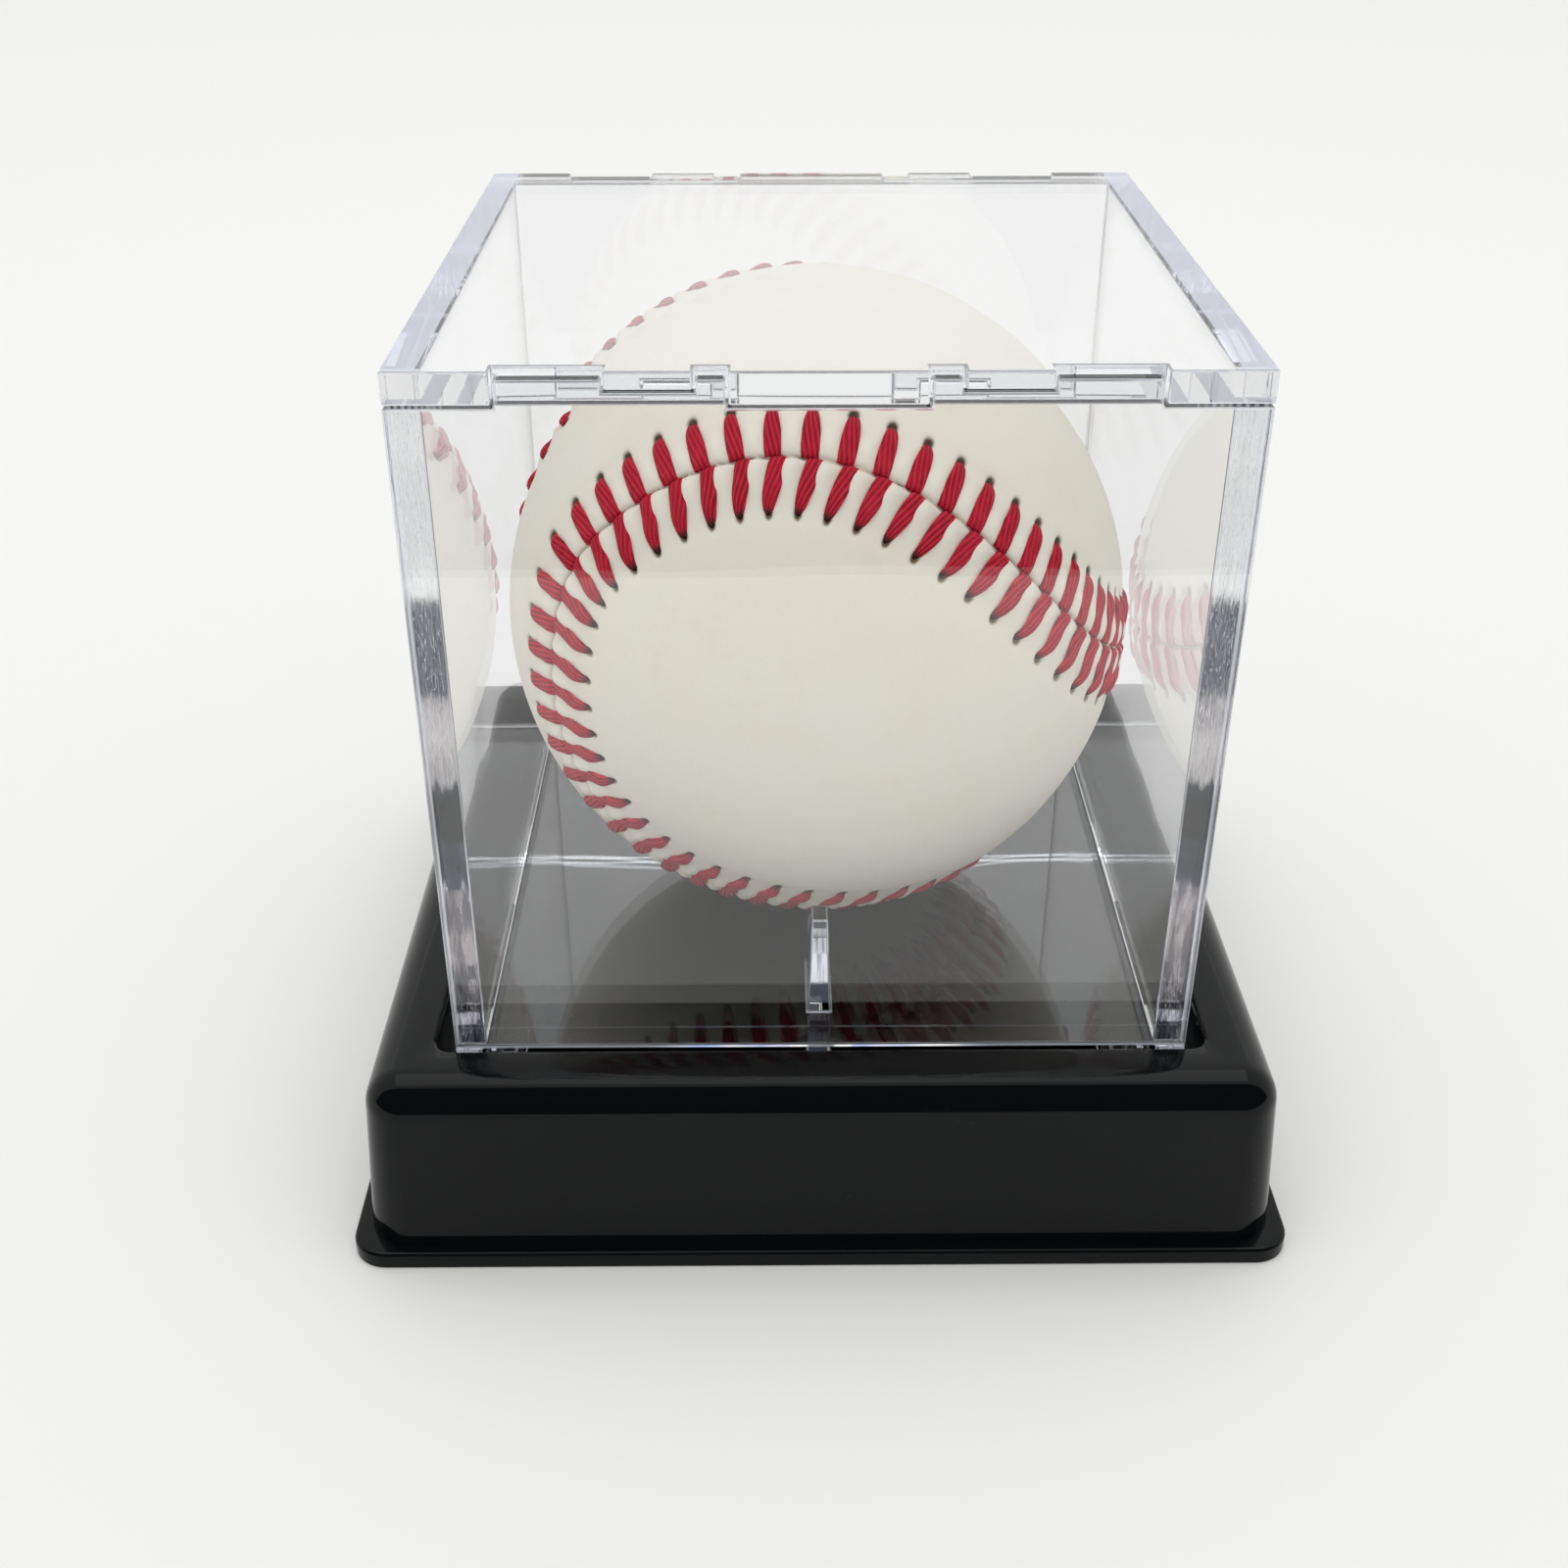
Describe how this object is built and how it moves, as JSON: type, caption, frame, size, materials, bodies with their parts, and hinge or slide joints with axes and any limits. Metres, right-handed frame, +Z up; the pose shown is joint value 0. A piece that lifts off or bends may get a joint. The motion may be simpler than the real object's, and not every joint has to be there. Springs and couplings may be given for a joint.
{
  "type": "baseball display case",
  "caption": "Clear snap-together display cube with a baseball inside, standing in the pocket of a flanged black moulded base.",
  "frame": {"origin": "centre of the base flange's footprint, on the surface that it stands on", "axes": "+Z up, -Y towards the viewer of the front, +X to the viewer's right"},
  "size_m": [0.106, 0.106, 0.0994],
  "materials": {
    "black_plastic": "high gloss, faint dust and hairline scratches",
    "clear_plastic_lower": "clear, polished",
    "clear_plastic_cover": "clear, polished",
    "leather_a": "matte cream, fine grain",
    "leather_b": "matte cream, fine grain",
    "red_thread": "waxed cotton, twisted",
    "grey_yarn": "wound wool",
    "red_rubber": "smooth"
  },
  "bodies": {
    "base": {"base_tray": "black_plastic"},
    "case_lower": {"lower_shell": "clear_plastic_lower"},
    "case_cover": {"cover_shell": "clear_plastic_cover"},
    "ball": {"ball_cover_a": "leather_a", "ball_cover_b": "leather_b", "ball_thread": "red_thread", "ball_winding": "grey_yarn", "ball_pill": "red_rubber"}
  },
  "joints": [
    {"name": "case_lift", "type": "slide", "parent": "base", "child": "case_lower", "axis": [0, 0, 1], "range_m": [0, 0.04]},
    {"name": "cover_lift", "type": "slide", "parent": "case_lower", "child": "case_cover", "axis": [0, 0, 1], "range_m": [0, 0.09]},
    {"name": "ball_turn", "type": "hinge", "parent": "case_lower", "child": "ball", "pos_m": [0, 0, 0.05809], "axis": [0, 0, 1], "continuous": true}
  ]
}
